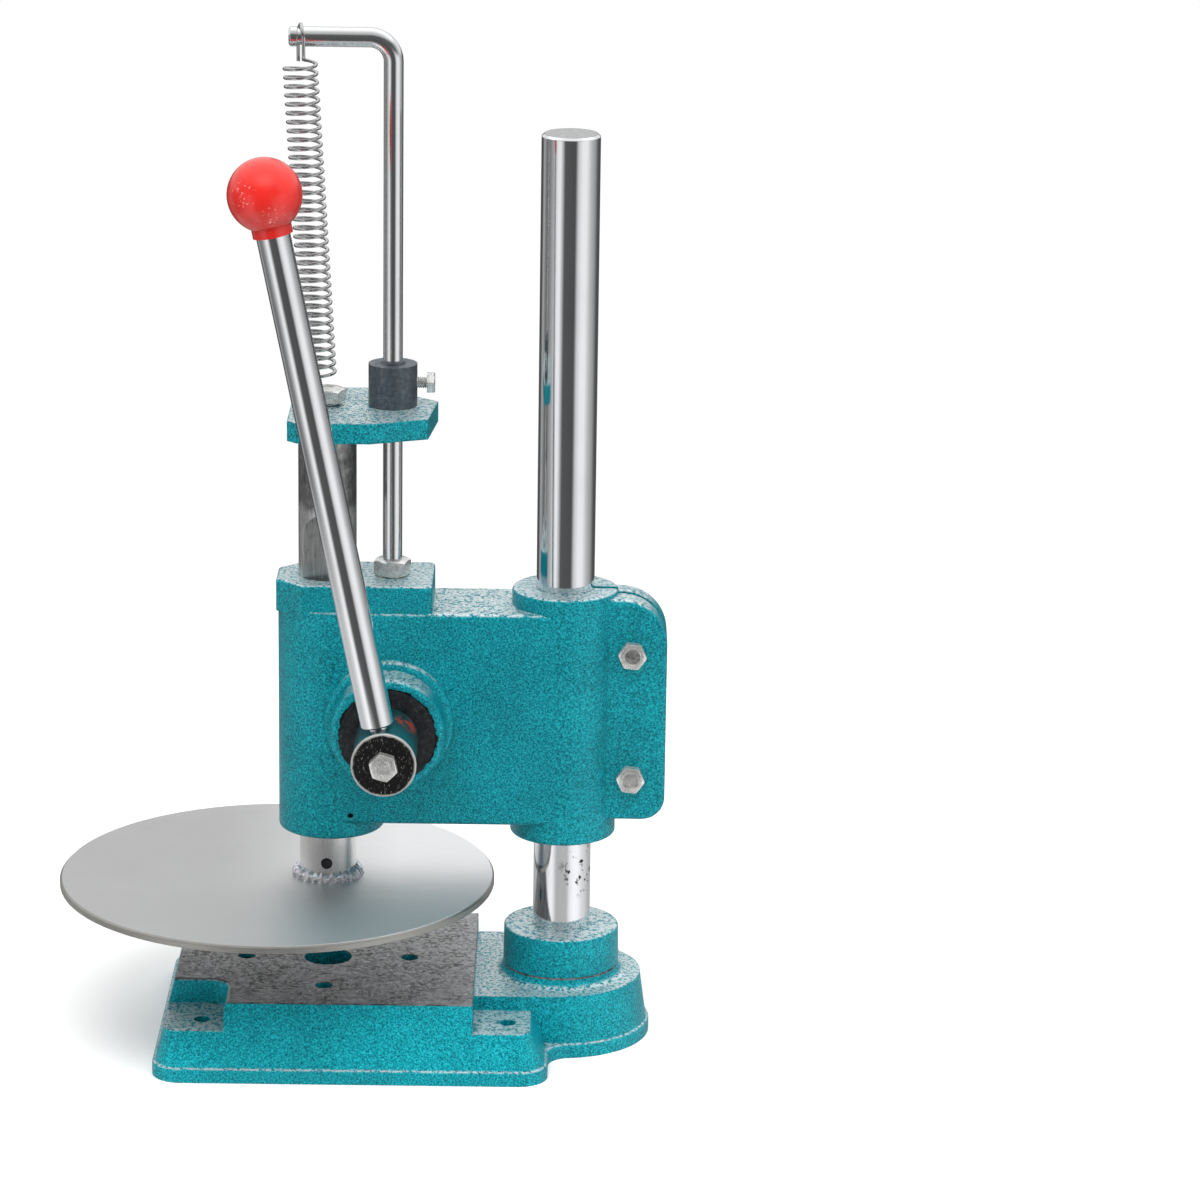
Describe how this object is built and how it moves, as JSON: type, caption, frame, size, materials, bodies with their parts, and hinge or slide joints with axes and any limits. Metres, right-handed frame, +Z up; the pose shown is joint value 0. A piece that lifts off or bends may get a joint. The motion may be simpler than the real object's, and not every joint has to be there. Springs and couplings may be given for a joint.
{
  "type": "pizza dough press",
  "caption": "Bench press for pizza dough: a hand lever turns a pinion that drives a racked ram and a round steel plate down on a cast table; a spring lifts it, and the head clamps on a column.",
  "frame": {"origin": "middle of the four bench bolt holes, on the underside of the base", "axes": "+Z up along the column; +X from the ram to the column; the lever is at -Y"},
  "size_m": [0.3165, 0.228, 0.5331],
  "materials": {
    "teal_casting": "hammered metallic gloss",
    "chrome_bar": "polished",
    "zinc_fasteners": "zinc plated",
    "black_steel": "black oxide",
    "bronze_bush": "turned",
    "ground_steel": "ground",
    "brushed_plate": "brushed in one direction",
    "dark_paint": "semi gloss",
    "red_knob": "moulded gloss",
    "spring_wire": "bright drawn wire"
  },
  "bodies": {
    "frame": {"base_casting": "teal_casting", "column": "chrome_bar"},
    "head": {"head_casting": "teal_casting", "clamp_bolts": "zinc_fasteners", "clamp_nuts": "zinc_fasteners", "front_bush": "black_steel", "rear_bush": "bronze_bush", "guide_post": "chrome_bar", "post_nut": "zinc_fasteners", "return_spring": "spring_wire"},
    "stop": {"stop_collar": "black_steel", "stop_screw": "zinc_fasteners"},
    "ram": {"ram": "ground_steel", "cross_plate": "teal_casting", "cross_plate_bolt": "zinc_fasteners", "plate_socket": "ground_steel", "socket_screw": "black_steel", "weld_bead": "ground_steel", "press_plate": "brushed_plate"},
    "lever": {"pinion_shaft": "ground_steel", "retaining_ring": "black_steel", "lever_hub": "dark_paint", "hub_key": "ground_steel", "hub_washer": "black_steel", "hub_bolt": "zinc_fasteners", "lever_rod": "chrome_bar", "knob": "red_knob"}
  },
  "joints": [
    {"name": "head_height", "type": "slide", "parent": "frame", "child": "head", "axis": [0, 0, 1], "range_m": [0, 0.2]},
    {"name": "ram_stroke", "type": "slide", "parent": "head", "child": "ram", "axis": [0, 0, -1], "range_m": [0, 0.03839], "stiffness_N_per_m": 540, "springref_m": -0.105, "deforming": ["return_spring"]},
    {"name": "lever_turn", "type": "hinge", "parent": "head", "child": "lever", "pos_m": [0.016, -0.086, 0.176], "axis": [0, -1, 0], "range_deg": [0, 110]},
    {"name": "stop_height", "type": "slide", "parent": "head", "child": "stop", "axis": [0, 0, 1], "range_m": [0, 0.12]}
  ],
  "couplings": [
    {"joint": "lever_turn", "follows": "ram_stroke", "rad_per_m": 50}
  ]
}
